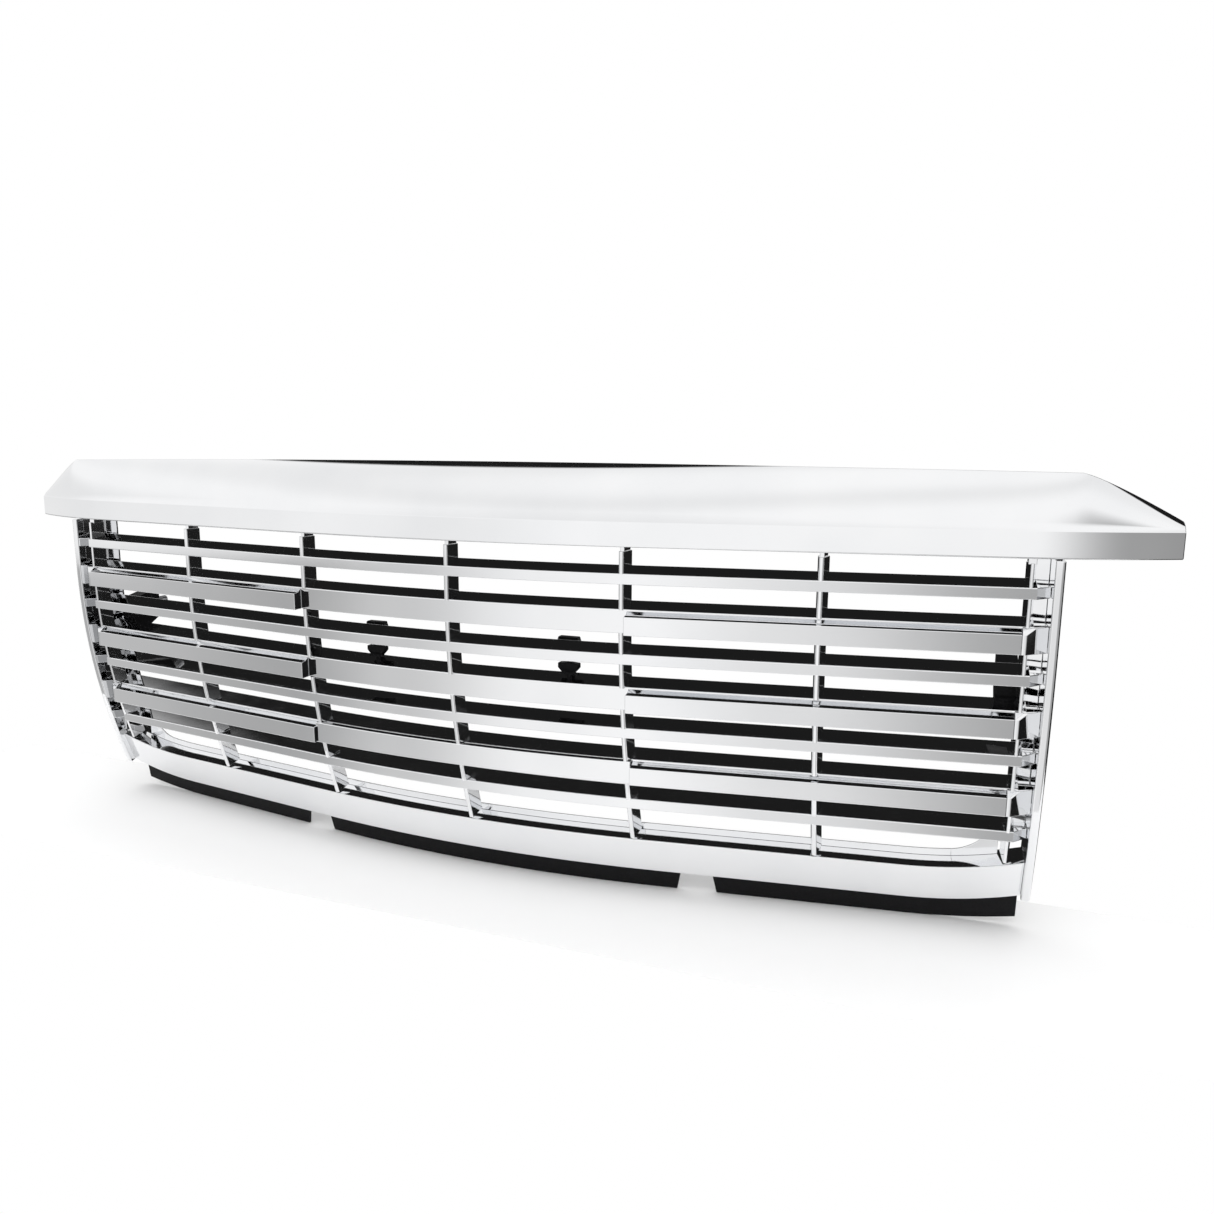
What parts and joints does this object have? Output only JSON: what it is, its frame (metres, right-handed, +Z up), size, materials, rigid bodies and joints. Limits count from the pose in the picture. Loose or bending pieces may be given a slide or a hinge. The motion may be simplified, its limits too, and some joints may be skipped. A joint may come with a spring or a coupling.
{
  "type": "front grille",
  "caption": "Wide bowed vehicle front grille: plated header over a lattice of horizontal bars and upright blades, framed by rails and a lower band, on a black rear carrier.",
  "frame": {"origin": "middle of the inner pair of upper bolt holes, on the top face of the tabs", "axes": "+X along the grille's width, +Y rearward into the vehicle, +Z up; the front faces -Y"},
  "size_m": [1.128, 0.1466, 0.388],
  "materials": {
    "chrome": "bright plated",
    "black_plastic": "fine moulded grain",
    "steel": "zinc plated"
  },
  "bodies": {
    "root": {"header_molding": "chrome", "header_clips": "black_plastic", "upper_crossmember": "black_plastic", "left_rail": "chrome", "right_rail": "chrome", "left_side_panel": "chrome", "right_side_panel": "chrome", "lower_band": "chrome", "lower_lip": "chrome", "left_lip_corner": "chrome", "right_lip_corner": "chrome", "lower_flange": "black_plastic", "thin_bar_1": "chrome", "thin_bar_2": "chrome", "thin_bar_3": "chrome", "thin_bar_4": "chrome", "thick_bar_1": "chrome", "thick_bar_2": "chrome", "thick_bar_3": "chrome", "left_wing_1": "chrome", "left_wing_2": "chrome", "left_wing_3": "chrome", "right_wing_1": "chrome", "right_wing_2": "chrome", "right_wing_3": "chrome", "left_end_cap_1": "chrome", "left_end_cap_2": "chrome", "left_end_cap_3": "chrome", "right_end_cap_1": "chrome", "right_end_cap_2": "chrome", "right_end_cap_3": "chrome", "center_pad_3": "chrome", "blade_1": "chrome", "blade_2": "chrome", "blade_3": "chrome", "blade_4": "chrome", "blade_5": "chrome", "left_side_blade": "chrome", "right_side_blade": "chrome", "left_inner_bracket": "black_plastic", "right_inner_bracket": "black_plastic", "left_locating_arm": "black_plastic", "right_locating_arm": "black_plastic", "left_locating_pin": "steel", "right_locating_pin": "steel", "blade_screws": "steel", "bracket_screws": "steel", "rail_screws": "steel", "flange_screws": "steel"}
  },
  "joints": []
}
